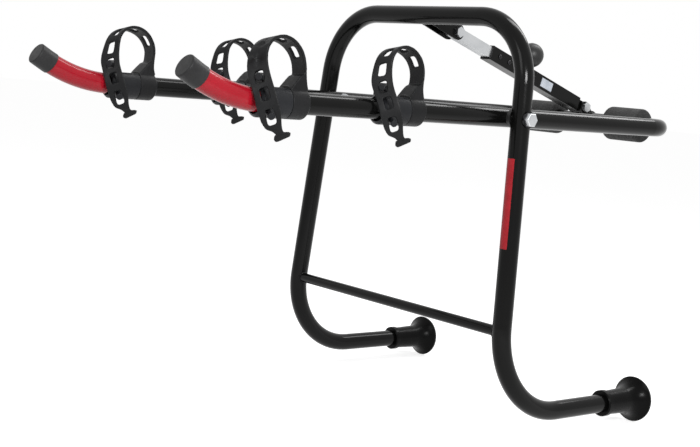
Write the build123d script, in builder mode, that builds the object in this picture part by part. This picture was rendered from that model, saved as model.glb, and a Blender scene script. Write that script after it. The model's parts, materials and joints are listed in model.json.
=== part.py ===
# Trunk-mounted bike carrier: a bent tube hoop that leans on the car with two rubber feet, and a
# U-shaped arm frame that turns on two bolts through the hoop's legs and is held by a telescopic strut.
# +Z is up, +X points at the car, and the origin is half way between the soles of the two feet.
import os
from math import atan2, cos, degrees, hypot, radians, sin, tan

from build123d import *

os.makedirs("parts", exist_ok=True)

# Main tubes
tube_radius = 12.5
tube_wall = 2.0
cross_bar_radius = 7.0
slip = 0.05  # running fit, on the radius
press = 0.02  # gap left round a piece that is pushed on

# Hoop
leg_spacing = 395.0  # between the legs' centre lines, at the turning axis
leg_splay = 3.3  # degrees that each leg spreads downwards
hoop_lean = 2.9  # degrees that the legs lean away from the car at the bottom
top_bar_height = 128.0
foot_tube_drop = 381.0
foot_tube_reach = 224.0
top_bend_radius = 90.0
low_bend_radius = 110.0
cross_bar_drop = 270.6

# Rubber feet
foot_lip_radius = 18.0
foot_lip_length = 9.0
foot_lip_rounding = 1.6
foot_neck_radius = 16.2
foot_neck_growth = 1.4
foot_sole_radius = 31.5
foot_flat_radius = 21.0  # the flat part of the sole
foot_length = 79.0
foot_grip_length = 34.0
foot_sole_thickness = 8.5
foot_flare_length = 24.0

# Arm frame
arm_spacing = 341.0
closed_end_reach = 358.0
closed_end_radius = 60.0
arm_straight_reach = 379.0
tip_bend_radius = 190.0
tip_bend_angle = 30.0
tip_straight = 8.0

# Foam rollers on the closed end
roller_radius = 25.0
roller_length = 60.0
roller_outer_end = 112.0
roller_rounding = 3.0

# Coloured sleeves and caps on the arm tips
sleeve_skin = 0.6
grip_start = 8.0  # past the start of the bend
cap_skin = 1.4
cap_length = 20.0
cap_end_wall = 4.0
cap_rounding = 2.0
cap_joint = 0.5

# Turning bolts and what they carry
bolt_radius = 5.0
bolt_head_flats = 16.0
bolt_head_height = 6.4
nut_height = 8.0
washer_radius = 10.5
washer_thickness = 2.0
spacer_radius = 12.2
spacer_depth = 9.0
bush_radius = 7.5

# Strut
strut_top = (58.0, 110.0)  # X and Z of the upper pin
strut_low = (341.0, 20.0)  # X and Z of the lower pins
bar_size = 15.7
bar_wall = 1.6
bar_length = 225.0
bar_mouth = 75.0  # where the outer sleeve starts, from the upper pin
strut_sleeve_size = 21.0
strut_sleeve_wall = 2.5
sleeve_end_gap = 14.0  # from the sleeve's lower end to the lower pin
eye_radius = 9.0
eye_plug_length = 25.0
pin_radius = 4.0
pin_head_flats = 13.0
pin_head_height = 5.3
pin_nut_height = 6.5
cheek_thickness = 3.0
cheek_gap = 0.3
cheek_radius = 11.0
ear_thickness = 4.0
ear_gap = 0.4
saddle_thickness = 3.0
stop_plug_length = 12.0

# Knob that clamps the strut
knob_place = 163.0  # along the strut from the upper pin
knob_radius = 18.0
knob_neck_radius = 9.0
knob_neck_height = 2.0
boss_radius = 8.0
boss_height = 3.0
stud_radius = 4.0

# Small things on the strut and on the leg
guide_places = (92.0, 113.0)
guide_head_radius = 3.4
guide_head_height = 2.2
guide_shank_radius = 2.0
label_place = 202.0
label_length = 26.0
label_width = 13.0
label_thickness = 0.4
leg_label_top = 35.0  # below the turning axis
leg_label_length = 115.0
leg_label_width = 17.0
leg_label_facing = (-0.98, -0.17)

# Cradles, which slide on the arms, so that each has its own place
outer_overrun = {"right": 15.0, "left": 6.0}  # how far the outer ones reach past the start of the bend
cradle_spacing = {"right": 175.0, "left": 167.0}
cradle_radius = 18.5
cradle_length = 68.0
cradle_chamfer = 4.0
spigot_wall = 2.4
relief_length = 18.0  # the wider mouth that clears the bent tube
relief_gap = 1.9
ring_length = 27.0
ring_gap = 0.3
seat_half_width = 12.0
seat_floor = 15.8
seat_flat = 10.0
horn_height = 30.5
horn_slope_run = 12.5
peg_radius = 3.4
peg_head_radius = 4.2
peg_head = 2.5

# Ladder straps
strap_width = 24.0
strap_thickness = 3.5
strap_rise = 71.5
strap_slot_length = 14.5
strap_slot_width = 9.6
strap_slot_rounding = 2.4
strap_t_width = 20.0
strap_t_height = 6.5
strap_t_thickness = 6.0

half_leg = leg_spacing / 2
half_arm = arm_spacing / 2
splay = tan(radians(leg_splay))
lean = tan(radians(hoop_lean))


# The model is worked out from the turning axis, and its origin is half way between the feet's soles
sole_x = foot_tube_reach - foot_grip_length + foot_length
neck_x = foot_tube_reach - foot_grip_length
feet_frame = Location((-sole_x, 0, foot_tube_drop))


def save(piece, name):
    """Move a finished piece to the frame at the feet, and write it."""
    piece.part.move(feet_frame)
    piece.part.label = name
    export_step(piece.part, f"parts/{name}.step")


def leg_point(side, z):
    """A point on a leg's centre line, at height z; side is -1 on the right and 1 on the left."""
    return Vector(lean * z, side * (half_leg - splay * z), z)


# Hoop: one tube from the right foot over the top bar to the left foot
right_low = leg_point(-1, -foot_tube_drop)
left_low = leg_point(1, -foot_tube_drop)
hoop_corners = [
    Vector(foot_tube_reach, right_low.Y, -foot_tube_drop),
    right_low,
    leg_point(-1, top_bar_height),
    leg_point(1, top_bar_height),
    left_low,
    Vector(foot_tube_reach, left_low.Y, -foot_tube_drop),
]
hoop_bends = [low_bend_radius, top_bend_radius, top_bend_radius, low_bend_radius]
with BuildLine() as hoop_path:
    FilletPolyline(*hoop_corners, radius=hoop_bends)

with BuildPart() as hoop_bore:
    with BuildSketch(Plane(hoop_corners[0], z_dir=(-1, 0, 0))):
        Circle(tube_radius - tube_wall)
    sweep(path=hoop_path.wires()[0])

with BuildPart() as hoop_outer:
    with BuildSketch(Plane(hoop_corners[0], z_dir=(-1, 0, 0))):
        Circle(tube_radius)
    sweep(path=hoop_path.wires()[0])

turning_axis = Plane(origin=(0, 0, 0), x_dir=(1, 0, 0), z_dir=(0, 1, 0))
with BuildPart() as hoop_frame:
    add(hoop_outer.part)
    add(hoop_bore.part, mode=Mode.SUBTRACT)
    with BuildSketch(turning_axis):
        Circle(bush_radius)
    extrude(amount=leg_spacing, both=True, mode=Mode.SUBTRACT)
save(hoop_frame, "hoop_frame")

with BuildPart() as hoop_cross_bar:
    with BuildSketch(Plane(origin=(-lean * cross_bar_drop, 0, -cross_bar_drop), z_dir=(0, 1, 0))):
        Circle(cross_bar_radius)
    extrude(amount=half_leg + splay * cross_bar_drop, both=True)
    add(hoop_outer.part, mode=Mode.SUBTRACT)
save(hoop_cross_bar, "hoop_cross_bar")

# Rubber feet, turned about the foot tube's axis
for name, low in (("foot_right", right_low), ("foot_left", left_low)):
    with BuildPart() as foot:
        with BuildSketch(Plane(origin=(0, low.Y, -foot_tube_drop), x_dir=(1, 0, 0), z_dir=(0, -1, 0))):
            with BuildLine():
                rim_start = sole_x - foot_sole_thickness
                flare_start = rim_start - foot_flare_length
                flare_radius = foot_neck_radius + foot_neck_growth
                lip_end = neck_x + foot_lip_length
                Polyline(
                    (foot_tube_reach, 0),
                    (foot_tube_reach, tube_radius + press),
                    (neck_x, tube_radius + press),
                    (neck_x, foot_lip_radius - foot_lip_rounding),
                    (neck_x + foot_lip_rounding, foot_lip_radius),
                    (lip_end, foot_lip_radius),
                    (lip_end + foot_lip_rounding, foot_neck_radius),
                    (flare_start, flare_radius),
                )
                ThreePointArc(
                    (flare_start, flare_radius),
                    (flare_start + 0.64 * foot_flare_length, flare_radius + 0.34 * (foot_sole_radius - flare_radius)),
                    (rim_start, foot_sole_radius),
                )
                ThreePointArc(
                    (rim_start, foot_sole_radius),
                    (sole_x - 0.26 * foot_sole_thickness, foot_flat_radius + 0.72 * (foot_sole_radius - foot_flat_radius)),
                    (sole_x, foot_flat_radius),
                )
                Polyline(
                    (sole_x, foot_flat_radius),
                    (sole_x, 0),
                    (foot_tube_reach, 0),
                )
            make_face()
        revolve(axis=Axis((0, low.Y, -foot_tube_drop), (1, 0, 0)))
    save(foot, name)

# Arm frame: one tube from the right tip round the closed end to the left tip
tip_tangent = tip_bend_radius * tan(radians(tip_bend_angle / 2))
tip_corner_x = -(arm_straight_reach + tip_tangent)
tip_run = tip_tangent + tip_straight
tip_x = tip_corner_x - tip_run * cos(radians(tip_bend_angle))
tip_z = tip_run * sin(radians(tip_bend_angle))
tip_direction = Vector(cos(radians(tip_bend_angle)), 0, -sin(radians(tip_bend_angle)))
arm_corners = [
    (tip_x, -half_arm, tip_z),
    (tip_corner_x, -half_arm, 0),
    (closed_end_reach, -half_arm, 0),
    (closed_end_reach, half_arm, 0),
    (tip_corner_x, half_arm, 0),
    (tip_x, half_arm, tip_z),
]
arm_bends = [tip_bend_radius, closed_end_radius, closed_end_radius, tip_bend_radius]
with BuildLine() as arm_path:
    FilletPolyline(*arm_corners, radius=arm_bends)

with BuildPart() as arm_bore:
    with BuildSketch(Plane(arm_corners[0], z_dir=tip_direction)):
        Circle(tube_radius - tube_wall)
    sweep(path=arm_path.wires()[0])

with BuildPart() as arm_outer:
    with BuildSketch(Plane(arm_corners[0], z_dir=tip_direction)):
        Circle(tube_radius)
    sweep(path=arm_path.wires()[0])

with BuildPart() as arm_frame:
    add(arm_outer.part)
    add(arm_bore.part, mode=Mode.SUBTRACT)
    with BuildSketch(turning_axis):
        Circle(bush_radius)
    extrude(amount=leg_spacing, both=True, mode=Mode.SUBTRACT)
save(arm_frame, "arm_frame")

for name, side in (("roller_right", -1), ("roller_left", 1)):
    middle = side * (roller_outer_end - roller_length / 2)
    with BuildPart() as roller:
        with BuildSketch(Plane(origin=(closed_end_reach, middle, 0), z_dir=(0, 1, 0))):
            Circle(roller_radius)
            Circle(tube_radius + press, mode=Mode.SUBTRACT)
        extrude(amount=roller_length / 2, both=True)
        fillet(roller.edges().filter_by(GeomType.CIRCLE).group_by(SortBy.RADIUS)[-1], roller_rounding)
    save(roller, name)

# Coloured sleeves over the bent tips, and the caps that close them
with BuildLine() as tip_path:
    FilletPolyline(
        (0, 0, 0),
        (tip_corner_x, 0, 0),
        (tip_x, 0, tip_z),
        radius=tip_bend_radius,
    )
tip_plane = Plane(origin=(tip_x, 0, tip_z), z_dir=tip_direction)
with BuildPart() as plain_sleeve:
    with BuildSketch(Plane(origin=(0, 0, 0), z_dir=(-1, 0, 0))):
        Circle(tube_radius + press + sleeve_skin)
        Circle(tube_radius + press, mode=Mode.SUBTRACT)
    sweep(path=tip_path.wires()[0])
    with BuildSketch(Plane(origin=(-(arm_straight_reach + grip_start), 0, 0), z_dir=(1, 0, 0))):
        Circle(4 * tube_radius)
    extrude(amount=arm_straight_reach + grip_start, mode=Mode.SUBTRACT)

with BuildPart() as plain_cap:
    with BuildSketch(Plane(origin=(0, 0, 0), z_dir=(-1, 0, 0))):
        Circle(tube_radius + cap_skin)
        Circle(tube_radius + press, mode=Mode.SUBTRACT)
    sweep(path=tip_path.wires()[0])
    with BuildSketch(tip_plane):
        Circle(4 * tube_radius)
    extrude(amount=cap_length, mode=Mode.INTERSECT)

with BuildPart() as cap_end:
    with BuildSketch(tip_plane.offset(-cap_end_wall)):
        Circle(tube_radius + cap_skin)
    extrude(amount=cap_end_wall - press)
    fillet(cap_end.faces().sort_by(Axis(tip_plane.origin, tip_direction))[0].edges(), cap_rounding)
    with BuildSketch(tip_plane.offset(-press)):
        Circle(tube_radius + cap_skin)
        Circle(tube_radius + press, mode=Mode.SUBTRACT)
    extrude(amount=press)

for name, side in (("right", -1), ("left", 1)):
    to_arm = Location((0, side * half_arm, 0))
    with BuildPart() as tip_grip:
        add(plain_sleeve.part.moved(to_arm))
        with BuildSketch(Plane(origin=(tip_x, side * half_arm, tip_z), z_dir=tip_direction)):
            Circle(4 * tube_radius)
        extrude(amount=cap_length + cap_joint, mode=Mode.SUBTRACT)
    save(tip_grip, f"tip_grip_{name}")

    with BuildPart() as tip_cap:
        add(plain_cap.part.moved(to_arm))
        add(cap_end.part.moved(to_arm))
    save(tip_cap, f"tip_cap_{name}")

# Turning bolts: a bolt, a washer, a bush in each tube, a saddle spacer between the tubes and a nut
for name, side in (("right", -1), ("left", 1)):
    outward = (0, side, 0)
    leg_out = half_leg + tube_radius
    arm_in = half_arm - tube_radius
    with BuildPart() as leg_bush:
        with BuildSketch(Plane(origin=(0, side * half_leg, 0), z_dir=outward)):
            Circle(bush_radius)
            Circle(bolt_radius + slip, mode=Mode.SUBTRACT)
        extrude(amount=tube_radius, both=True)
        add(Cylinder(tube_radius, 8 * tube_radius, mode=Mode.PRIVATE).moved(
            Location(leg_point(side, 0), (side * leg_splay, hoop_lean, 0))), mode=Mode.INTERSECT)
    save(leg_bush, f"leg_bush_{name}")

    with BuildPart() as arm_bush:
        with BuildSketch(Plane(origin=(0, side * half_arm, 0), z_dir=outward)):
            Circle(bush_radius)
            Circle(bolt_radius + slip, mode=Mode.SUBTRACT)
        extrude(amount=tube_radius, both=True)
        add(Cylinder(tube_radius, 8 * tube_radius, mode=Mode.PRIVATE).moved(
            Location((0, side * half_arm, 0), (0, 90, 0))), mode=Mode.INTERSECT)
    save(arm_bush, f"arm_bush_{name}")

    with BuildPart() as saddle_spacer:
        with BuildSketch(Plane(origin=(0, side * (half_arm + half_leg) / 2, 0), z_dir=outward)):
            Circle(spacer_radius)
            Circle(bolt_radius + slip, mode=Mode.SUBTRACT)
        extrude(amount=spacer_depth / 2, both=True)
        add(hoop_outer.part, mode=Mode.SUBTRACT)
        add(Cylinder(hypot(tube_radius, spacer_radius) * 2, 2 * tube_radius + 0.6, mode=Mode.PRIVATE).moved(
            Location((0, side * half_arm, 0), (90, 0, 0))), mode=Mode.SUBTRACT)
    save(saddle_spacer, f"saddle_spacer_{name}")

    with BuildPart() as head_washer:
        with BuildSketch(Plane(origin=(0, side * leg_out, 0), z_dir=outward)):
            Circle(washer_radius)
            Circle(bolt_radius + slip, mode=Mode.SUBTRACT)
        extrude(amount=washer_thickness)
        add(hoop_outer.part, mode=Mode.SUBTRACT)
    save(head_washer, f"head_washer_{name}")

    bolt_foot = arm_in - washer_thickness - nut_height - 2
    with BuildPart() as pivot_bolt:
        with BuildSketch(Plane(origin=(0, side * bolt_foot, 0), z_dir=outward)):
            Circle(bolt_radius)
        extrude(amount=leg_out + washer_thickness - bolt_foot)
        with BuildSketch(Plane(origin=(0, side * (leg_out + washer_thickness), 0), z_dir=outward)):
            RegularPolygon(bolt_head_flats / 2, 6, major_radius=False, rotation=30)
        extrude(amount=bolt_head_height)
        chamfer(pivot_bolt.faces().sort_by(Axis.Y)[0 if side < 0 else -1].edges(), 0.8)
    save(pivot_bolt, f"pivot_bolt_{name}")

    with BuildPart() as nut_washer:
        with BuildSketch(Plane(origin=(0, side * (arm_in - 0.3), 0), z_dir=(0, -side, 0))):
            Circle(washer_radius)
            Circle(bolt_radius + slip, mode=Mode.SUBTRACT)
        extrude(amount=washer_thickness)
    save(nut_washer, f"nut_washer_{name}")

    with BuildPart() as lock_nut:
        with BuildSketch(Plane(origin=(0, side * (arm_in - 0.3 - washer_thickness), 0), z_dir=(0, -side, 0))):
            RegularPolygon(bolt_head_flats / 2, 6, major_radius=False, rotation=30)
            Circle(bolt_radius, mode=Mode.SUBTRACT)
        extrude(amount=nut_height)
    save(lock_nut, f"lock_nut_{name}")

# Strut: everything on it is placed along its own axis, from the upper pin
strut_run = Vector(strut_low[0] - strut_top[0], 0, strut_low[1] - strut_top[1])
strut_length = strut_run.length
strut_axis = strut_run.normalized()
strut_up = Vector(-strut_axis.Z, 0, strut_axis.X)
top_pin = Vector(strut_top[0], 0, strut_top[1])
low_pin = Vector(strut_low[0], 0, strut_low[1])
side_plane = Plane(origin=top_pin, x_dir=strut_axis, z_dir=strut_axis.cross(strut_up))
bar_plane = Plane(origin=top_pin, x_dir=(0, 1, 0), z_dir=strut_axis)

with BuildPart() as strut_bar:
    with BuildSketch(bar_plane):
        Rectangle(bar_size, bar_size)
        Rectangle(bar_size - 2 * bar_wall, bar_size - 2 * bar_wall, mode=Mode.SUBTRACT)
    extrude(amount=bar_length)
    with BuildSketch(side_plane):
        Circle(bar_size / 2)
    extrude(amount=bar_size / 2, both=True)
    with BuildSketch(side_plane):
        Circle(pin_radius + slip)
    extrude(amount=bar_size, both=True, mode=Mode.SUBTRACT)
save(strut_bar, "strut_bar")

plug_side = bar_size - 2 * bar_wall - 2 * press
with BuildPart() as bar_stop_plug:
    with BuildSketch(bar_plane.offset(bar_length - stop_plug_length)):
        Rectangle(plug_side, plug_side)
    extrude(amount=stop_plug_length)
    with BuildSketch(bar_plane.offset(bar_length)):
        Rectangle(bar_size, bar_size)
    extrude(amount=bar_wall)
save(bar_stop_plug, "bar_stop_plug")

sleeve_end = strut_length - sleeve_end_gap
sleeve_bore = strut_sleeve_size - 2 * strut_sleeve_wall
with BuildPart() as strut_sleeve:
    with BuildSketch(bar_plane.offset(bar_mouth)):
        Rectangle(strut_sleeve_size, strut_sleeve_size)
    extrude(amount=sleeve_end - bar_mouth)
    fillet(strut_sleeve.edges().filter_by(Axis(top_pin, strut_axis)), strut_sleeve_wall / 2)
    with BuildSketch(bar_plane.offset(bar_mouth)):
        Rectangle(sleeve_bore, sleeve_bore)
    extrude(amount=sleeve_end - bar_mouth, mode=Mode.SUBTRACT)
    with BuildSketch(Plane(origin=top_pin + strut_axis * knob_place, z_dir=strut_up)):
        Circle(stud_radius + slip)
    extrude(amount=strut_sleeve_size, mode=Mode.SUBTRACT)
    for place in guide_places:
        with BuildSketch(Plane(origin=top_pin + strut_axis * place, z_dir=(0, -1, 0))):
            Circle(guide_shank_radius)
        extrude(amount=strut_sleeve_size, mode=Mode.SUBTRACT)
save(strut_sleeve, "strut_sleeve")

eye_size = sleeve_bore - 2 * press
with BuildPart() as sleeve_eye:
    with BuildSketch(bar_plane.offset(sleeve_end - eye_plug_length)):
        Rectangle(eye_size, eye_size)
    extrude(amount=eye_plug_length)
    with BuildSketch(side_plane):
        with Locations((strut_length, 0)):
            Circle(eye_radius)
        with Locations((strut_length - sleeve_end_gap / 2, 0)):
            Rectangle(sleeve_end_gap, eye_size)
    extrude(amount=eye_size / 2, both=True)
save(sleeve_eye, "sleeve_eye")

knob_foot = top_pin + strut_axis * knob_place + strut_up * (strut_sleeve_size / 2)
with BuildPart() as clamp_boss:
    with BuildSketch(Plane(origin=knob_foot, z_dir=strut_up)):
        Circle(boss_radius)
        Circle(stud_radius + slip, mode=Mode.SUBTRACT)
    extrude(amount=boss_height)
save(clamp_boss, "clamp_boss")

stud_start = bar_size / 2 + 0.1
ball_rise = (knob_radius**2 - knob_neck_radius**2) ** 0.5
ball_centre = strut_sleeve_size / 2 + boss_height + knob_neck_height + ball_rise
with BuildPart() as knob_stud:
    with BuildSketch(Plane(origin=knob_foot + strut_up * (stud_start - strut_sleeve_size / 2), z_dir=strut_up)):
        Circle(stud_radius)
    extrude(amount=ball_centre - stud_start)
save(knob_stud, "knob_stud")

with BuildPart() as clamp_knob:
    knob_plane = Plane(origin=top_pin + strut_axis * knob_place, x_dir=strut_axis, z_dir=strut_up)
    neck_start = strut_sleeve_size / 2 + boss_height + 0.3
    with BuildSketch(knob_plane.offset(neck_start)):
        Circle(knob_neck_radius)
    extrude(amount=ball_centre - neck_start)
    add(Sphere(knob_radius, mode=Mode.PRIVATE).moved(
        Location(top_pin + strut_axis * knob_place + strut_up * ball_centre)))
    with BuildSketch(knob_plane.offset(strut_sleeve_size / 2)):
        Circle(stud_radius + press)
    extrude(amount=ball_centre - strut_sleeve_size / 2 + press, mode=Mode.SUBTRACT)
save(clamp_knob, "clamp_knob")

with BuildPart() as guide_screws:
    for place in guide_places:
        screw_plane = Plane(origin=top_pin + strut_axis * place, z_dir=(0, -1, 0))
        with BuildSketch(screw_plane.offset(bar_size / 2 + 0.1)):
            Circle(guide_shank_radius - press)
        extrude(amount=strut_sleeve_size / 2 - bar_size / 2)
        with BuildSketch(screw_plane.offset(strut_sleeve_size / 2)):
            Circle(guide_head_radius)
        extrude(amount=guide_head_height)
save(guide_screws, "guide_screws")

with BuildPart() as strut_label:
    label_centre = top_pin + strut_axis * label_place - Vector(0, strut_sleeve_size / 2, 0)
    with BuildSketch(Plane(origin=label_centre, x_dir=strut_axis, z_dir=(0, -1, 0))):
        Rectangle(label_length, label_width)
    extrude(amount=label_thickness)
save(strut_label, "strut_label")

# Upper bracket: two cheeks and a web, welded under the top bar
cheek_inner = bar_size / 2 + cheek_gap
cheek_outer = cheek_inner + cheek_thickness
bar_centre = Vector(lean * top_bar_height, 0, top_bar_height)
to_bar = bar_centre - top_pin
bracket_plane = Plane(origin=top_pin, x_dir=to_bar.normalized(), z_dir=(0, 1, 0))
with BuildPart() as strut_top_bracket:
    with BuildSketch(bracket_plane):
        SlotCenterPoint((to_bar.length / 2, 0), (to_bar.length, 0), 2 * cheek_radius)
    extrude(amount=cheek_outer, both=True)
    with BuildSketch(bracket_plane):
        Circle(cheek_radius + 1)
        with Locations((to_bar.length / 2 - 12, -2.5 if bracket_plane.y_dir.Z > 0 else 2.5)):
            Rectangle(to_bar.length + 24, 2 * cheek_radius)
    extrude(amount=cheek_inner, both=True, mode=Mode.SUBTRACT)
    with BuildSketch(side_plane):
        Circle(pin_radius + slip)
    extrude(amount=2 * cheek_outer, both=True, mode=Mode.SUBTRACT)
    add(hoop_outer.part, mode=Mode.SUBTRACT)
save(strut_top_bracket, "strut_top_bracket")

with BuildPart() as top_pin_bolt:
    with BuildSketch(Plane(origin=top_pin, z_dir=(0, -1, 0)).offset(-cheek_outer - pin_nut_height - 1)):
        Circle(pin_radius)
    extrude(amount=2 * cheek_outer + pin_nut_height + 1)
    with BuildSketch(Plane(origin=top_pin, z_dir=(0, -1, 0)).offset(cheek_outer)):
        RegularPolygon(pin_head_flats / 2, 6, major_radius=False)
    extrude(amount=pin_head_height)
save(top_pin_bolt, "top_pin_bolt")

with BuildPart() as top_pin_nut:
    with BuildSketch(Plane(origin=top_pin, z_dir=(0, 1, 0)).offset(cheek_outer)):
        RegularPolygon(pin_head_flats / 2, 6, major_radius=False)
        Circle(pin_radius, mode=Mode.SUBTRACT)
    extrude(amount=pin_nut_height)
save(top_pin_nut, "top_pin_nut")

# Lower bracket: two ears on a saddle, welded on the arm frame's closed end
ear_inner = eye_size / 2 + ear_gap
ear_outer = ear_inner + ear_thickness
closed_centre = Vector(closed_end_reach, 0, 0)
to_low_pin = low_pin - closed_centre
ear_plane = Plane(origin=closed_centre, x_dir=to_low_pin.normalized(), z_dir=(0, 1, 0))
with BuildPart() as strut_low_bracket:
    with BuildSketch(ear_plane):
        SlotCenterPoint((to_low_pin.length / 2, 0), (to_low_pin.length, 0), 2 * eye_radius)
        Circle(tube_radius + saddle_thickness)
    extrude(amount=ear_outer, both=True)
    with BuildSketch(ear_plane):
        with Locations((to_low_pin.length, 0)):
            Rectangle(2 * (to_low_pin.length - tube_radius - saddle_thickness), 4 * eye_radius)
    extrude(amount=ear_inner, both=True, mode=Mode.SUBTRACT)
    with BuildSketch(ear_plane):
        with Locations((-2 * tube_radius, 0)):
            Rectangle(4 * tube_radius, 8 * tube_radius)
    extrude(amount=2 * ear_outer, both=True, mode=Mode.SUBTRACT)
    with BuildSketch(ear_plane):
        with Locations((to_low_pin.length, 0)):
            Circle(pin_radius)
    extrude(amount=2 * ear_outer, both=True, mode=Mode.SUBTRACT)
    add(arm_outer.part, mode=Mode.SUBTRACT)
save(strut_low_bracket, "strut_low_bracket")

for name, side in (("right", -1), ("left", 1)):
    with BuildPart() as low_pin_bolt:
        with BuildSketch(Plane(origin=low_pin, z_dir=(0, side, 0)).offset(ear_inner)):
            Circle(pin_radius - press)
        extrude(amount=ear_thickness)
        with BuildSketch(Plane(origin=low_pin, z_dir=(0, side, 0)).offset(ear_outer)):
            RegularPolygon(pin_head_flats / 2, 6, major_radius=False)
        extrude(amount=pin_head_height)
    save(low_pin_bolt, f"low_pin_bolt_{name}")

# Plain sticker on the right leg
label_z = -(leg_label_top + leg_label_length / 2)
label_turn = leg_point(-1, -1) - leg_point(-1, 0)
with BuildPart() as leg_label:
    with BuildSketch(Plane(origin=leg_point(-1, label_z), z_dir=label_turn)):
        Circle(tube_radius + label_thickness)
        Circle(tube_radius + press, mode=Mode.SUBTRACT)
    extrude(amount=leg_label_length / 2, both=True)
    label_normal = Vector(leg_label_facing[0], leg_label_facing[1], 0)
    label_across = Vector(-leg_label_facing[1], leg_label_facing[0], 0)
    with BuildSketch(Plane(origin=leg_point(-1, label_z), x_dir=label_across, z_dir=label_normal)):
        Rectangle(leg_label_width, 2 * leg_label_length)
    extrude(amount=2 * tube_radius, mode=Mode.INTERSECT)
save(leg_label, "leg_label")

# Cradles: a moulded sleeve with a V-shaped seat, and a rubber ladder strap on its car-side end.
# Each strap rises at the car side, goes over the bike's tube and hooks on two pegs at the tip side.
# There it turns towards the right, so that its tail hangs beside the arm tube.
strap_stations = [
    # the centre line, as parts of cradle_length, cradle_radius and strap_rise, then the band's turn
    # about Z in degrees and its width as a part of strap_width
    (0.434, 0.00, 0.22, 0, 1.0),
    (0.370, 0.00, 0.53, 0, 1.0),
    (0.258, 0.00, 0.825, 0, 1.0),
    (-0.060, 0.00, 1.0, 2, 1.0),
    (-0.382, -0.11, 0.91, 12, 1.0),
    (-0.525, -0.27, 0.63, 23, 1.0),
    (-0.541, -0.70, 0.355, 34, 1.0),
    (-0.531, -1.27, 0.11, 48, 1.0),
    (-0.430, -1.50, -0.20, 51, 0.95),
    (-0.271, -1.60, -0.423, 51, 0.46),
    (-0.195, -1.60, -0.495, 51, 0.42),
]
strap_slots = [2, 3, 4, 5, 6, 7, 8]
peg_roots = {6: (-0.35, -0.30, 0.34), 8: (-0.35, -0.80, -0.15)}


def in_cradle(part_x, part_y, part_z):
    """A point given as parts of the cradle's length and radius and of the strap's rise."""
    return Vector(part_x * cradle_length, part_y * cradle_radius, part_z * strap_rise)


def strap_plane(i, where):
    """The plane across the strap at station i, moved along the arm to the cradle."""
    turn = radians(strap_stations[i][3])
    before = in_cradle(*strap_stations[max(i - 1, 0)][:3])
    after = in_cradle(*strap_stations[min(i + 1, len(strap_stations) - 1)][:3])
    along = (after - before).normalized()
    across = Vector(sin(turn), -cos(turn), 0)
    across = (across - along * across.dot(along)).normalized()
    return Plane(origin=where + in_cradle(*strap_stations[i][:3]), x_dir=across, z_dir=along)


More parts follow.
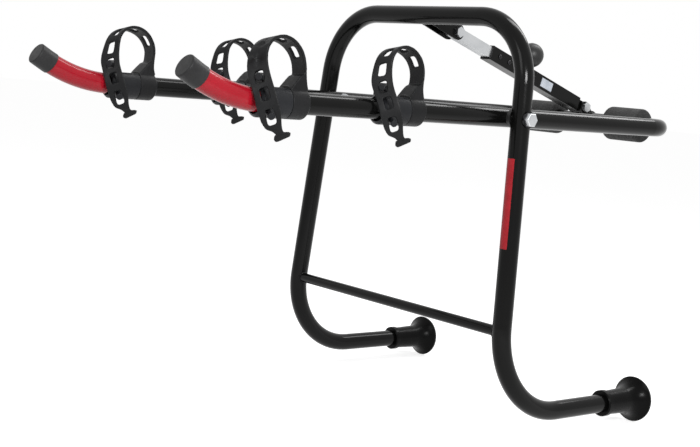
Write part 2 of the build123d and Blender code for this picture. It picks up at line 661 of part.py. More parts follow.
end_x = cradle_length / 2
seam_x = end_x - ring_length
band_inside = strap_stations[0][0] * cradle_length - strap_thickness / 2
for name, side in (("right", -1), ("left", 1)):
    outer_reach = arm_straight_reach + outer_overrun[name] - cradle_length / 2
    for row, reach in (("outer", outer_reach), ("inner", outer_reach - cradle_spacing[name])):
        where = Vector(-reach, side * half_arm, 0)
        axis_plane = Plane(origin=where, x_dir=(0, 1, 0), z_dir=(1, 0, 0))
        section_plane = Plane(origin=where, x_dir=(1, 0, 0), z_dir=(0, -1, 0))
        bore = tube_radius + slip
        with BuildPart() as cradle:
            with BuildSketch(axis_plane.offset(-end_x)):
                Circle(cradle_radius)
            extrude(amount=end_x + seam_x)
            chamfer(cradle.edges().sort_by(Axis.X)[0], cradle_chamfer)
            with BuildSketch(axis_plane):
                Circle(bore + spigot_wall)
            extrude(amount=end_x)
            horn_x = seam_x - seat_flat
            with BuildSketch(section_plane):
                Polygon(
                    (-end_x + cradle_chamfer, 0),
                    (-end_x + cradle_chamfer, horn_height - cradle_chamfer),
                    (-end_x + 2 * cradle_chamfer, horn_height),
                    (horn_x - horn_slope_run, horn_height),
                    (horn_x, seat_floor),
                    (horn_x, 0),
                    align=None,
                )
            extrude(amount=seat_half_width, both=True)
            with BuildSketch(section_plane):
                Polygon(
                    (horn_x - horn_slope_run, horn_height),
                    (horn_x, seat_floor),
                    (end_x, seat_floor),
                    (end_x, horn_height),
                    align=None,
                )
            extrude(amount=cradle_radius, both=True, mode=Mode.SUBTRACT)
            with BuildSketch(axis_plane.offset(-end_x)):
                Circle(bore)
            extrude(amount=cradle_length, mode=Mode.SUBTRACT)
            with BuildSketch(axis_plane.offset(-end_x)):
                Circle(bore + relief_gap)
            extrude(amount=relief_length, mode=Mode.SUBTRACT)
            for station, root in peg_roots.items():
                start = in_cradle(*root)
                target = in_cradle(*strap_stations[station][:3])
                run = target - start
                with BuildSketch(Plane(origin=where + start, z_dir=run)):
                    Circle(peg_radius)
                extrude(amount=run.length + strap_thickness / 2 + peg_head / 2)
                with BuildSketch(Plane(origin=where + target, z_dir=run).offset(strap_thickness / 2 + slip)):
                    Circle(peg_head_radius)
                extrude(amount=peg_head)
        save(cradle, f"cradle_{row}_{name}")

        with BuildPart() as strap:
            with BuildSketch(axis_plane.offset(seam_x + ring_gap)):
                Circle(cradle_radius)
            extrude(amount=ring_length - ring_gap)
            chamfer(strap.edges().sort_by(Axis.X)[-1], cradle_chamfer)
            with BuildSketch(section_plane):
                Polygon(
                    (seam_x + ring_gap, 0),
                    (seam_x + ring_gap, seat_floor),
                    (seam_x + horn_slope_run, horn_height),
                    (band_inside - strap_thickness / 2, horn_height + strap_thickness),
                    (end_x - cradle_chamfer, seat_floor),
                    (end_x - cradle_chamfer, 0),
                    align=None,
                )
            extrude(amount=seat_half_width, both=True)
            with BuildSketch(axis_plane.offset(seam_x)):
                Circle(bore + spigot_wall + press)
            extrude(amount=cradle_length, mode=Mode.SUBTRACT)
            for i in range(len(strap_stations)):
                with BuildSketch(strap_plane(i, where)):
                    Rectangle(strap_width * strap_stations[i][4], strap_thickness)
            loft()
            tail = strap_plane(len(strap_stations) - 1, where)
            with BuildSketch(Plane(origin=tail.origin, x_dir=tail.x_dir, z_dir=tail.y_dir)):
                SlotOverall(strap_t_width, strap_t_height)
            extrude(amount=strap_t_thickness / 2, both=True)
            for i in strap_slots:
                cut = strap_plane(i, where)
                with BuildSketch(Plane(origin=cut.origin, x_dir=cut.x_dir, z_dir=cut.y_dir)):
                    RectangleRounded(strap_slot_width, strap_slot_length, strap_slot_rounding)
                extrude(amount=2 * strap_thickness, both=True, mode=Mode.SUBTRACT)
        save(strap, f"strap_{row}_{name}")

print("strut length", round(strut_length, 2), "axis", strut_axis, "up", strut_up)
print("strut slope", round(degrees(atan2(strut_axis.Z, strut_axis.X)), 3))
print("knob centre", top_pin + strut_axis * knob_place + strut_up * ball_centre)
print("sole x", sole_x, "foot y", left_low.Y, "tip", tip_x, tip_z)
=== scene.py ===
# Looks of the bike carrier: finishes, moulded rubber and foam, welds, small fasteners, floor, light
# and camera.
import json
from math import cos, pi, radians, sin, tan

import bpy
from mathutils import Matrix, Vector


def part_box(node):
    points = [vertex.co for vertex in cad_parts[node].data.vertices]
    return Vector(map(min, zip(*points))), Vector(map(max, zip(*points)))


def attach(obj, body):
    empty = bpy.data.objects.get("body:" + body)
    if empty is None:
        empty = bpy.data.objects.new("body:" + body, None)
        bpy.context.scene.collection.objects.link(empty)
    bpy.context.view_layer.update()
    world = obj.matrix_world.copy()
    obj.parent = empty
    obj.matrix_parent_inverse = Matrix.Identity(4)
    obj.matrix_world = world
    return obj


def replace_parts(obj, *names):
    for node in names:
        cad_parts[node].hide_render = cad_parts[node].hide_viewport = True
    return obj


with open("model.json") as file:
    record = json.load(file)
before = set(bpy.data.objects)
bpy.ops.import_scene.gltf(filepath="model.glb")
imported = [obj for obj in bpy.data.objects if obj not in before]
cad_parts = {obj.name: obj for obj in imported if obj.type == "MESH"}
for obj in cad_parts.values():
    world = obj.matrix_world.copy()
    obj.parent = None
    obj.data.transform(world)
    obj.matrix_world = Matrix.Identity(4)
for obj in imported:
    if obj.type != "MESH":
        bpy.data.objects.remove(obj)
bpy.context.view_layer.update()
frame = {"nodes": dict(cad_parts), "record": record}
nodes = frame["nodes"]

MM = 0.001
side_signs = {"right": -1, "left": 1}


def new_material(name):
    """An empty material, its node tree and its Principled shader."""
    material = bpy.data.materials.new(name)
    material.use_nodes = True
    tree = material.node_tree
    shader = tree.nodes["Principled BSDF"]
    return material, tree, shader


def noise(tree, scale, detail=3.0, stretch=(1, 1, 1)):
    """Noise in the piece's own coordinates, in metres; scale counts its features per metre."""
    coordinates = tree.nodes.new("ShaderNodeTexCoord")
    mapping = tree.nodes.new("ShaderNodeMapping")
    mapping.inputs["Scale"].default_value = stretch
    texture = tree.nodes.new("ShaderNodeTexNoise")
    texture.inputs["Scale"].default_value = scale
    texture.inputs["Detail"].default_value = detail
    tree.links.new(coordinates.outputs["Object"], mapping.inputs["Vector"])
    tree.links.new(mapping.outputs["Vector"], texture.inputs["Vector"])
    return texture.outputs["Fac"]


def spread(tree, value, low, high):
    """Maps the middle of a noise to a range."""
    ramp = tree.nodes.new("ShaderNodeMapRange")
    ramp.inputs["From Min"].default_value = 0.3
    ramp.inputs["From Max"].default_value = 0.7
    ramp.inputs["To Min"].default_value = low
    ramp.inputs["To Max"].default_value = high
    tree.links.new(value, ramp.inputs["Value"])
    return ramp.outputs["Result"]


def two_colours(tree, value, dark, pale):
    """Blends from dark to pale as the value goes from 0 to 1."""
    mix = tree.nodes.new("ShaderNodeMix")
    mix.data_type = "RGBA"
    mix.inputs["A"].default_value = (*dark, 1)
    mix.inputs["B"].default_value = (*pale, 1)
    tree.links.new(value, mix.inputs["Factor"])
    return mix.outputs["Result"]


def bump(tree, shader, height, depth):
    """Roughens a surface by a pattern; depth is in metres."""
    node = tree.nodes.new("ShaderNodeBump")
    node.inputs["Strength"].default_value = 1.0
    node.inputs["Distance"].default_value = depth
    tree.links.new(height, node.inputs["Height"])
    tree.links.new(node.outputs["Normal"], shader.inputs["Normal"])


gloss_fineness = 3  # how much finer the uneven gloss is than the patches of colour


def finish(name, dark, pale, rough, patch_scale, grain_scale, grain_depth,
           metallic=0.0, coat=0.0, specular=0.5, stretch=(1, 1, 1)):
    """A finish with patches of two near colours, uneven gloss and a fine grain."""
    material, tree, shader = new_material(name)
    patches = spread(tree, noise(tree, patch_scale), 0.0, 1.0)
    tree.links.new(two_colours(tree, patches, dark, pale), shader.inputs["Base Color"])
    gloss = spread(tree, noise(tree, patch_scale * gloss_fineness, stretch=stretch), rough[0], rough[1])
    tree.links.new(gloss, shader.inputs["Roughness"])
    shader.inputs["Metallic"].default_value = metallic
    shader.inputs["Coat Weight"].default_value = coat
    shader.inputs["Coat Roughness"].default_value = 0.06
    shader.inputs["Specular IOR Level"].default_value = specular
    bump(tree, shader, noise(tree, grain_scale, detail=2.0, stretch=stretch), grain_depth)
    return material


def foam_finish(name, dark, pale, rough, patch_scale, bloom_scale, cell_scale, cell_depth):
    """Closed-cell foam: cells for the bump, with a dull bloom."""
    material, tree, shader = new_material(name)
    coordinates = tree.nodes.new("ShaderNodeTexCoord")
    cells = tree.nodes.new("ShaderNodeTexVoronoi")
    cells.inputs["Scale"].default_value = cell_scale
    tree.links.new(coordinates.outputs["Object"], cells.inputs["Vector"])
    patches = spread(tree, noise(tree, patch_scale), 0.0, 1.0)
    tree.links.new(two_colours(tree, patches, dark, pale), shader.inputs["Base Color"])
    bloom = spread(tree, noise(tree, bloom_scale), rough[0], rough[1])
    tree.links.new(bloom, shader.inputs["Roughness"])
    bump(tree, shader, cells.outputs["Distance"], cell_depth)
    return material


# Finishes: scales count features per metre, depths are in metres
paint = finish(
    "black_powder_coat",
    dark=(0.0022, 0.0022, 0.0021),
    pale=(0.0036, 0.0036, 0.0035),
    rough=(0.12, 0.19),
    patch_scale=9.0,
    grain_scale=420.0,
    grain_depth=0.00002,
    specular=0.13,
)
zinc = finish(
    "zinc_plate",
    dark=(0.50, 0.515, 0.53),
    pale=(0.60, 0.61, 0.62),
    rough=(0.26, 0.36),
    patch_scale=45.0,
    grain_scale=1200.0,
    grain_depth=0.00001,
    metallic=1.0,
    stretch=(0.12, 1, 1),
)
black_zinc = finish(
    "black_zinc_plate",
    dark=(0.020, 0.020, 0.021),
    pale=(0.036, 0.036, 0.038),
    rough=(0.22, 0.32),
    patch_scale=60.0,
    grain_scale=1200.0,
    grain_depth=0.00001,
    metallic=1.0,
)
foot_rubber = finish(
    "foot_rubber",
    dark=(0.0014, 0.0014, 0.0014),
    pale=(0.0026, 0.0026, 0.0026),
    rough=(0.22, 0.34),
    patch_scale=30.0,
    grain_scale=1200.0,
    grain_depth=0.00005,
    specular=0.07,
)
strap_rubber = finish(
    "strap_rubber",
    dark=(0.0055, 0.0056, 0.0060),
    pale=(0.0105, 0.0107, 0.0114),
    rough=(0.38, 0.52),
    patch_scale=35.0,
    grain_scale=1600.0,
    grain_depth=0.00006,
    specular=0.14,
)
cradle_plastic = finish(
    "cradle_plastic",
    dark=(0.0085, 0.0090, 0.0104),
    pale=(0.0135, 0.0143, 0.0165),
    rough=(0.34, 0.48),
    patch_scale=25.0,
    grain_scale=2200.0,
    grain_depth=0.00005,
    specular=0.16,
)
cap_plastic = finish(
    "cap_plastic",
    dark=(0.014, 0.014, 0.0145),
    pale=(0.022, 0.022, 0.0228),
    rough=(0.38, 0.52),
    patch_scale=40.0,
    grain_scale=1500.0,
    grain_depth=0.00005,
    specular=0.20,
)
knob_plastic = finish(
    "knob_plastic",
    dark=(0.010, 0.010, 0.010),
    pale=(0.018, 0.018, 0.018),
    rough=(0.36, 0.50),
    patch_scale=35.0,
    grain_scale=1300.0,
    grain_depth=0.00005,
    specular=0.35,
)
nylon = finish(
    "nylon",
    dark=(0.010, 0.010, 0.010),
    pale=(0.018, 0.018, 0.018),
    rough=(0.35, 0.5),
    patch_scale=60.0,
    grain_scale=900.0,
    grain_depth=0.00003,
    specular=0.3,
)
pale_nylon = finish(
    "pale_nylon",
    dark=(0.50, 0.52, 0.50),
    pale=(0.62, 0.64, 0.62),
    rough=(0.35, 0.5),
    patch_scale=90.0,
    grain_scale=900.0,
    grain_depth=0.00003,
)
red_vinyl = finish(
    "red_vinyl",
    dark=(0.29, 0.005, 0.013),
    pale=(0.35, 0.008, 0.018),
    rough=(0.16, 0.26),
    patch_scale=22.0,
    grain_scale=500.0,
    grain_depth=0.00003,
    coat=0.05,
    specular=0.20,
)
red_film = finish(
    "red_film",
    dark=(0.26, 0.008, 0.013),
    pale=(0.34, 0.012, 0.019),
    rough=(0.22, 0.34),
    patch_scale=60.0,
    grain_scale=700.0,
    grain_depth=0.00002,
    specular=0.22,
)
silver_film = finish(
    "silver_film",
    dark=(0.42, 0.46, 0.52),
    pale=(0.62, 0.66, 0.72),
    rough=(0.28, 0.42),
    patch_scale=90.0,
    grain_scale=700.0,
    grain_depth=0.00002,
    metallic=0.6,
)
foam = foam_finish(
    "foam",
    dark=(0.014, 0.014, 0.014),
    pale=(0.030, 0.030, 0.030),
    rough=(0.72, 0.92),
    patch_scale=60.0,
    bloom_scale=300.0,
    cell_scale=900.0,
    cell_depth=0.0004,
)

of_slot = {
    "black_paint": paint,
    "zinc": zinc,
    "foot_rubber": foot_rubber,
    "strap_rubber": strap_rubber,
    "cradle_plastic": cradle_plastic,
    "black_plastic": cap_plastic,
    "roller_foam": foam,
    "red_sleeve": red_vinyl,
    "red_sticker": red_film,
    "silver_sticker": silver_film,
    "nylon": nylon,
}
slot_of_node = {}
for part in frame["record"]["subparts"]:
    slot_of_node[part["node"]] = part["material_slot"]
    piece = nodes[part["node"]]
    piece.data.materials.clear()
    piece.data.materials.append(of_slot[part["material_slot"]])
nodes["clamp_knob"].data.materials[0] = knob_plastic
for side in side_signs:
    nodes[f"head_washer_{side}"].data.materials[0] = black_zinc
body_of_node = {}
for body, members in frame["record"]["behaviour"]["bodies"].items():
    for member in members:
        body_of_node[member] = body


# Where each hinged body turns, in metres
turning_place = {}
for joint in frame["record"]["behaviour"]["joints"]:
    if "pos_m" in joint:
        turning_place[joint["child"]] = Vector(joint["pos_m"])

# Pieces are placed from the turning axis of the arms, in millimetres
turning_axis = turning_place["arms"]


def place(x, y, z):
    """A point in metres, from its distances to the turning axis."""
    return turning_axis + Vector((x, y, z)) * MM


def sweep(start, end, count):
    """Evenly spaced angles in radians, from start to end in degrees."""
    return [radians(start + (end - start) * i / (count - 1)) for i in range(count)]


def new_piece(name, mesh, material, body, crease=35):
    """A finished mesh as a piece that rides on a body; edges sharper than crease stay sharp."""
    mesh.materials.clear()
    mesh.materials.append(material)
    for face in mesh.polygons:
        face.use_smooth = True
    mesh.set_sharp_from_angle(angle=radians(crease))
    piece = bpy.data.objects.new(name, mesh)
    bpy.context.scene.collection.objects.link(piece)
    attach(piece, body)
    return piece


def reshape(mesh, change):
    """Moves each point of a mesh by a rule."""
    for point in mesh.vertices:
        point.co = change(point.co)


def new_draft(name, mesh, voxel):
    """A passing object that remakes a mesh with points a voxel apart."""
    draft = bpy.data.objects.new(name, mesh)
    bpy.context.scene.collection.objects.link(draft)
    remesh = draft.modifiers.new("remesh", "REMESH")
    remesh.mode = "VOXEL"
    remesh.voxel_size = voxel * MM
    return draft


def mesh_of_draft(draft):
    """The mesh that a passing object's modifiers make; the object itself goes."""
    mesh = bpy.data.meshes.new_from_object(draft.evaluated_get(bpy.context.evaluated_depsgraph_get()))
    bpy.data.objects.remove(draft)
    return mesh


kept_share = 0.3  # of the faces of a softened piece
soft_crease = 80


def soften(node, voxel, rounds, first_change=None, change=None):
    """Stands for a moulded CAD piece with nearly the same shape, but with soft edges.

    first_change moves the points of the solid's own mesh, change those of an even skin over it.
    """
    mesh = nodes[node].data.copy()
    if first_change:
        reshape(mesh, first_change)
    if change:
        mesh = mesh_of_draft(new_draft("even_draft", mesh, voxel))
        reshape(mesh, change)
    draft = new_draft(f"{node}_draft", mesh, voxel)
    smooth = draft.modifiers.new("smooth", "SMOOTH")
    smooth.factor = 0.5
    smooth.iterations = rounds
    thin = draft.modifiers.new("thin", "DECIMATE")
    thin.ratio = kept_share
    shape = mesh_of_draft(draft)
    slot = slot_of_node[node]
    piece = new_piece(f"{node}_moulded", shape, of_slot[slot], body_of_node[node], soft_crease)
    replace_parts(piece, node)


# How the straps sit and the seats are cut, in millimetres from each cradle's centre
strap_half_width = 12.0
loop_tilt = 0.20  # the loop's left edge is lower than its right one, by this part of the width
tilt_heights = (15.0, 60.0)  # from where it starts to where it is full
# How far each loop leans towards the car, and how much taller it stands than its solid
loop_lean = {("outer", "right"): 0.0, ("outer", "left"): 4.0, ("inner", "right"): 3.2, ("inner", "left"): 4.0}
loop_rise = {("outer", "right"): 0.0, ("outer", "left"): 3.5, ("inner", "right"): 3.0, ("inner", "left"): 2.5}
lean_heights = (22.0, 52.0)
rise_heights = (25.0, 65.0)
# The tail is drawn down where it hangs beside the arm, between the seat and its own end
tail_stretch = 3.5
tail_sideways = (-18.0, -24.0)
tail_top = (-13.0, -20.0)
tail_bottom = (-33.0, -25.0)
# The horn's slope, from its foot to its top
seat_floor = 15.8
seat_foot = 19.0
horn_top_reach = 24.5
horn_height = 30.5
# Middles of the two slots of the right outer strap that are closed, and the line of the band there
closed_slots = [
    (Vector((-25.98, -2.04, 65.07)), Vector((-31.6, -5.0, -26.5))),
    (Vector((-35.7, -5.0, 45.05)), Vector((-10.8, -10.9, -39.7))),
]
slot_reach = 9.5  # how far from its middle a slot is drawn shut


def eased(value, limits):
    """A smooth step from 0 to 1 as the value goes from the first limit to the second."""
    start, end = limits
    part = min(max((value - start) / (end - start), 0.0), 1.0)
    return part * part * (3 - 2 * part)


def from_cradle(centre, rule):
    """A rule in millimetres from a cradle's centre, as one for points of a mesh."""
    return lambda point: centre + rule((point - centre) / MM) * MM


def settle(strap):
    """The rule by which a strap's loop leans left and towards the car, and its tail is drawn down."""
    def rule(spot):
        tail_part = eased(spot.y, tail_sideways) * eased(spot.z, tail_top) * eased(spot.z, tail_bottom)
        tilt = loop_tilt * (spot.y + strap_half_width) * eased(spot.z, tilt_heights)
        drop = tilt + tail_stretch * tail_part
        rise = loop_rise[strap] * eased(spot.z, rise_heights)
        lean_part = eased(spot.z, lean_heights)
        return Vector((spot.x + loop_lean[strap] * lean_part, spot.y, spot.z - drop + rise))
    return rule


def close_slots(spot):
    """Draws the walls of the closed slots together."""
    for middle, along in closed_slots:
        offset = spot - middle
        if offset.length < slot_reach:
            along = along.normalized()
            across = Vector((0, 1, 0))
            across = (across - across.dot(along) * along).normalized()
            through = along.cross(across)
            return middle + offset.dot(through) * through
    return spot


def open_seat(spot):
    """Cuts the horn on the tip side steeper, so that the seat is open behind the strap."""
    limit = horn_height
    if -horn_top_reach < spot.x < 0:
        rise = max(0.0, -spot.x - seat_foot) / (horn_top_reach - seat_foot)
        limit = seat_floor + rise * (horn_height - seat_floor)
    if spot.x < 0 and spot.z > limit:
        return Vector((spot.x, spot.y, limit))
    return spot


for row in ("outer", "inner"):
    for side in side_signs:
        centre = turning_place[f"cradle_{row}_{side}"]
        first_change = None
        if (row, side) == ("outer", "right"):
            first_change = from_cradle(centre, close_slots)
        strap_change = from_cradle(centre, settle((row, side)))
        soften(f"strap_{row}_{side}", voxel=0.6, rounds=5, first_change=first_change, change=strap_change)
        soften(f"cradle_{row}_{side}", voxel=0.6, rounds=4, change=from_cradle(centre, open_seat))
for side in side_signs:
    soften(f"roller_{side}", voxel=0.8, rounds=10)


def turned(name, profile, base, axis, material, body):
    """A profile of (radius, height) pairs turned about an axis through a base point."""
    steps = 48
    axis = Vector(axis).normalized()
    across = axis.orthogonal().normalized()
    over = axis.cross(across)
    points = []
    faces = []
    for radius, height in profile:
        for step in range(steps):
            angle = 2 * pi * step / steps
            around = cos(angle) * across + sin(angle) * over
            points.append(base + (radius * around + height * axis) * MM)
    for row in range(len(profile) - 1):
        for step in range(steps):
            after = (step + 1) % steps
            low = row * steps
            high = low + steps
            faces.append((low + step, low + after, high + after, high + step))
    mesh = bpy.data.meshes.new(name)
    mesh.from_pydata(points, [], faces)
    return new_piece(name, mesh, material, body)


# A bead's ripples and its slower swell, as parts of its radius and radians from point to point
ripple = 0.16
ripple_step = 2.1
swell = 0.05
swell_step = 0.37
bead_end = 0.35  # the radius at a bead's open ends, as a part of the full one
bead_crease = 60


def weld(name, line, radius, body, closed):
    """A rippled bead along a line of points, as welding leaves it."""
    rim = 10
    count = len(line)
    points = []
    faces = []
    for i in range(count):
        before = line[i - 1] if closed or i > 0 else line[i]
        after = line[(i + 1) % count] if closed or i < count - 1 else line[i]
        along = (after - before).normalized()
        across = along.orthogonal().normalized()
        over = along.cross(across)
        size = radius * (1 + ripple * sin(ripple_step * i) + swell * sin(swell_step * i + 1))
        if not closed and i in (0, count - 1):
            size = radius * bead_end
        for step in range(rim):
            angle = 2 * pi * step / rim
            points.append(line[i] + size * MM * (cos(angle) * across + sin(angle) * over))
    runs = count if closed else count - 1
    for i in range(runs):
        low = i * rim
        high = ((i + 1) % count) * rim
        for step in range(rim):
            after = (step + 1) % rim
            faces.append((low + step, low + after, high + after, high + step))
    if not closed:
        faces.append(tuple(range(rim)))
        faces.append(tuple(range((count - 1) * rim, count * rim)))
    mesh = bpy.data.meshes.new(name)
    mesh.from_pydata(points, [], faces)
    return new_piece(name, mesh, paint, body, bead_crease)


# Sizes that the welds, label and fasteners share with the solids
tube_radius = 12.5
half_leg = 197.5
half_arm = 170.5
leg_splay = 3.3
hoop_lean = 2.9
cross_bar_drop = 270.6
cross_bar_radius = 7.0
top_bar_height = 128.0
closed_end_reach = 358.0
strut_top = Vector((58.0, 0, 110.0))
strut_low = Vector((341.0, 0, 20.0))
saddle_half_length = 12.4
cheek_outer = 11.15
washer_gap = 0.3
washer_thickness = 2.0
nut_height = 8.0
sleeve_half = 10.5
guide_places = {"a": 92.0, "b": 113.0}
knob_place = 163.0
knob_radius = 18.0
knob_neck_radius = 9.0
knob_neck_height = 2.0
boss_height = 3.0
splay = tan(radians(leg_splay))
lean = tan(radians(hoop_lean))

# Welds round the cross bar's ends
ring_points = 60
ring_weld_radius = 1.7
for side, sign in side_signs.items():
    ring = []
    for i in range(ring_points):
        angle = 2 * pi * i / ring_points
        x = cross_bar_radius * cos(angle)
        z = -cross_bar_drop + cross_bar_radius * sin(angle)
        inward = (tube_radius**2 - x**2) ** 0.5
        y = sign * (half_leg - splay * z - inward)
        ring.append(place(x - lean * cross_bar_drop, y, z))
    weld(f"cross_bar_weld_{side}", ring, ring_weld_radius, "hoop", True)

# Welds along the sides of the strut's brackets: the tube's centre, the pin that the bracket points to,
# half the bracket's width, half the bead's angle, its number of points and its body
bracket_welds = {
    "top": (Vector((lean * top_bar_height, 0, top_bar_height)), strut_top, cheek_outer, 56, 25, "hoop"),
    "low": (Vector((closed_end_reach, 0, 0)), strut_low, saddle_half_length, 86, 31, "arms"),
}
bracket_weld_radius = 1.5
bracket_weld_gap = 0.4
for side, sign in side_signs.items():
    for bracket, (centre, pin, half_width, half_angle, count, body) in bracket_welds.items():
        to_pin = (pin - centre).normalized()
        over_pin = Vector((-to_pin.z, 0, to_pin.x))
        arc = []
        for angle in sweep(-half_angle, half_angle, count):
            spot = centre + tube_radius * (cos(angle) * to_pin + sin(angle) * over_pin)
            arc.append(place(spot.x, sign * (half_width + bracket_weld_gap), spot.z))
        weld(f"{bracket}_bracket_weld_{side}", arc, bracket_weld_radius, body, False)

# Plain label on the side of the right leg that faces away from the car
leg_label_top = 50.0
leg_label_length = 114.0
leg_label_from = 152.0
leg_label_to = 209.0
leg_label_skin = (0.05, 0.35)
label_steps = 16
points = []
faces = []
for z in (-leg_label_top, -leg_label_top - leg_label_length):
    for angle in sweep(leg_label_from, leg_label_to, label_steps + 1):
        for skin in leg_label_skin:
            reach = tube_radius + skin
            x = lean * z + reach * cos(angle)
            y = -half_leg + splay * z + reach * sin(angle)
            points.append(place(x, y, z))
label_row = 2 * (label_steps + 1)
for i in range(label_steps):
    inner, outer, inner_next, outer_next = range(2 * i, 2 * i + 4)
    faces.append((outer, outer_next, outer_next + label_row, outer + label_row))
    faces.append((inner_next, inner, inner + label_row, inner_next + label_row))
    faces.append((inner, inner_next, outer_next, outer))
    faces.append((outer + label_row, outer_next + label_row, inner_next + label_row, inner + label_row))
last = 2 * label_steps
faces.append((1, 1 + label_row, label_row, 0))
faces.append((last, last + label_row, last + 1 + label_row, last + 1))
mesh = bpy.data.meshes.new("leg_label_film")
mesh.from_pydata(points, [], faces)
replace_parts(new_piece("leg_label_film", mesh, red_film, "hoop"), "leg_label")

# Pale nylon rings in the lock nuts
nut_ring_profile = [(5.0, 0.0), (7.2, 0.0), (7.0, 0.5), (6.2, 0.8), (5.0, 0.7)]
nut_end = half_arm - tube_radius - washer_gap - washer_thickness - nut_height
for side, sign in side_signs.items():
    base = place(0, sign * nut_end, 0)
    turned(f"nut_ring_{side}", nut_ring_profile, base, (0, -sign, 0), pale_nylon, "hoop")

# Guide screws with rounded heads, each with a cross recess drawn as painted shade: dark crosses set into the
# head
strut_axis = (strut_low - strut_top).normalized()
strut_up = Vector((-strut_axis.z, 0, strut_axis.x))
outward = Vector((0, -1, 0))
screw_profile = [
    (2.0, -2.5), (2.0, 0.0), (3.4, 0.0), (3.4, 0.5), (3.1, 1.2), (2.4, 1.8), (1.2, 2.15), (0.01, 2.2),
]
recess_turns = (20, 110)
recess_depths = (1.25, 2.21)
recess_half_length = 1.9
recess_half_width = 0.35
recess_outline = [
    (-recess_half_length, -recess_half_width),
    (recess_half_length, -recess_half_width),
    (recess_half_length, recess_half_width),
    (-recess_half_length, recess_half_width),
]
recess_faces = [(0, 1, 2, 3), (4, 7, 6, 5), (0, 4, 5, 1), (1, 5, 6, 2), (2, 6, 7, 3), (3, 7, 4, 0)]
screw_heads = []
for name, along in guide_places.items():
    spot = strut_top + strut_axis * along
    base = place(spot.x, -sleeve_half, spot.z)
    head = turned(f"guide_screw_{name}", screw_profile, base, outward, black_zinc, "strut_sleeve")
    screw_heads.append(head)
    for number, turn in enumerate(recess_turns):
        across = cos(radians(turn)) * strut_axis + sin(radians(turn)) * strut_up
        beside = outward.cross(across)
        corners = []
        for depth in recess_depths:
            for a, b in recess_outline:
                corners.append(base + (across * a + beside * b + outward * depth) * MM)
        # Each bar of the cross is a dark nylon box, painted shade standing in for the hollow of the recess,
        # which is not cut
        mesh = bpy.data.meshes.new(f"recess_{name}_{number}")
        mesh.from_pydata(corners, [], recess_faces)
        new_piece(f"guide_screw_recess_{name}_{number}", mesh, nylon, "strut_sleeve")
for head in screw_heads:
    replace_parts(head, "guide_screws")

# Moulding line round the knob
seam_from = -58
seam_to = 238
seam_points = 120
seam_radius = 0.16
ball_rise = (knob_radius**2 - knob_neck_radius**2) ** 0.5
ball_centre = sleeve_half + boss_height + knob_neck_height + ball_rise
knob_spot = strut_top + strut_axis * knob_place + strut_up * ball_centre
line = []
for angle in sweep(seam_from, seam_to, seam_points):
    spot = knob_spot + knob_radius * (cos(angle) * strut_axis + sin(angle) * strut_up)
    line.append(place(spot.x, spot.y, spot.z))
seam = weld("knob_seam", line, seam_radius, "knob", False)
seam.data.materials[0] = knob_plastic

# Floor, backdrop and light, in metres
floor_gap = 0.001
floor_size = 40
floor_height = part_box("foot_right")[0].z - floor_gap
bpy.ops.mesh.primitive_plane_add(size=floor_size, location=(0, 0, floor_height))
floor = bpy.context.object
floor.name = "floor"


def seen_directly(tree):
    """1 for camera, glossy and transmission rays."""
    path = tree.nodes.new("ShaderNodeLightPath")
    first = tree.nodes.new("ShaderNodeMath")
    first.operation = "MAXIMUM"
    tree.links.new(path.outputs["Is Camera Ray"], first.inputs[0])
    tree.links.new(path.outputs["Is Glossy Ray"], first.inputs[1])
    second = tree.nodes.new("ShaderNodeMath")
    second.operation = "MAXIMUM"
    tree.links.new(first.outputs["Value"], second.inputs[0])
    tree.links.new(path.outputs["Is Transmission Ray"], second.inputs[1])
    return second.outputs["Value"]


white = (1, 1, 1, 1)
floor_glow = 0.66  # what the floor adds to its lit colour where it is seen directly
floor_material, tree, shader = new_material("pale_floor")
shader.inputs["Base Color"].default_value = (0.72, 0.72, 0.72, 1)
shader.inputs["Roughness"].default_value = 0.9
shader.inputs["Specular IOR Level"].default_value = 0.0
glow = tree.nodes.new("ShaderNodeEmission")
glow.inputs["Color"].default_value = white
strength = tree.nodes.new("ShaderNodeMath")
strength.operation = "MULTIPLY"
strength.inputs[1].default_value = floor_glow
tree.links.new(seen_directly(tree), strength.inputs[0])
tree.links.new(strength.outputs["Value"], glow.inputs["Strength"])
add = tree.nodes.new("ShaderNodeAddShader")
tree.links.new(shader.outputs["BSDF"], add.inputs[0])
tree.links.new(glow.outputs["Emission"], add.inputs[1])
tree.links.new(add.outputs["Shader"], tree.nodes["Material Output"].inputs["Surface"])
floor.data.materials.append(floor_material)

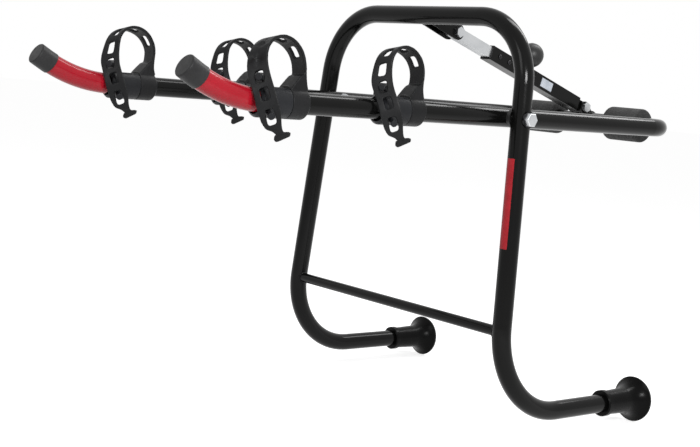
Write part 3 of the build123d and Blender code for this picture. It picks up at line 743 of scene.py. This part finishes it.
world = bpy.data.worlds.new("studio")
bpy.context.scene.world = world
world.use_nodes = True
tree = world.node_tree
background = tree.nodes["Background"]
strength = tree.nodes.new("ShaderNodeMapRange")
strength.inputs["To Min"].default_value = 0.45
strength.inputs["To Max"].default_value = 1.0
background.inputs["Color"].default_value = white
tree.links.new(seen_directly(tree), strength.inputs["Value"])
tree.links.new(strength.outputs["Result"], background.inputs["Strength"])


def softbox(name, where, target, width, height, power):
    """A rectangular lamp that faces its target; sizes in metres, power in watts."""
    lamp = bpy.data.lights.new(name, "AREA")
    lamp.shape = "RECTANGLE"
    lamp.size = width
    lamp.size_y = height
    lamp.energy = power
    lamp_object = bpy.data.objects.new(name, lamp)
    bpy.context.scene.collection.objects.link(lamp_object)
    lamp_object.location = where
    lamp_object.rotation_euler = (Vector(target) - Vector(where)).to_track_quat("-Z", "Y").to_euler()


softbox(
    "side_softbox", where=(-0.85, -1.62, 0.95), target=(-0.27, 0, 0.80), width=0.62, height=0.26, power=25
)
softbox(
    "overhead_softbox", where=(0.72, -0.02, 1.75), target=(-0.1, -0.02, 0.3), width=0.34, height=1.5, power=14
)
softbox(
    "front_fill", where=(-2.3, -0.5, 1.5), target=(-0.3, 0, 0.35), width=0.9, height=0.9, power=10
)

# Camera at the photograph's viewing angle, placed in metres
photo_width = 700
photo_height = 447
focal_px = 1281.6
centre_px = (359.65, 218.3)
sensor_width = 36.0
eye = turning_axis + Vector((-1.1989, -1.3090, 0.0285))
ahead = Vector((0.64482, 0.75709, -0.10492)).normalized()
roll = 0.085  # in radians
level = ahead.cross(Vector((0, 0, 1))).normalized()
above = level.cross(ahead)
right = cos(roll) * level + sin(roll) * above
up = cos(roll) * above - sin(roll) * level
camera_data = bpy.data.cameras.new("camera")
camera_data.sensor_fit = "HORIZONTAL"
camera_data.sensor_width = sensor_width
camera_data.lens = sensor_width * focal_px / photo_width
camera_data.shift_x = (photo_width / 2 - centre_px[0]) / photo_width
camera_data.shift_y = (centre_px[1] - photo_height / 2) / photo_width
camera = bpy.data.objects.new("camera", camera_data)
bpy.context.scene.collection.objects.link(camera)
turn = Matrix((right, up, -ahead)).transposed()
camera.matrix_world = Matrix.Translation(eye) @ turn.to_4x4()
bpy.context.scene.camera = camera
bpy.context.scene.view_settings.view_transform = "Standard"
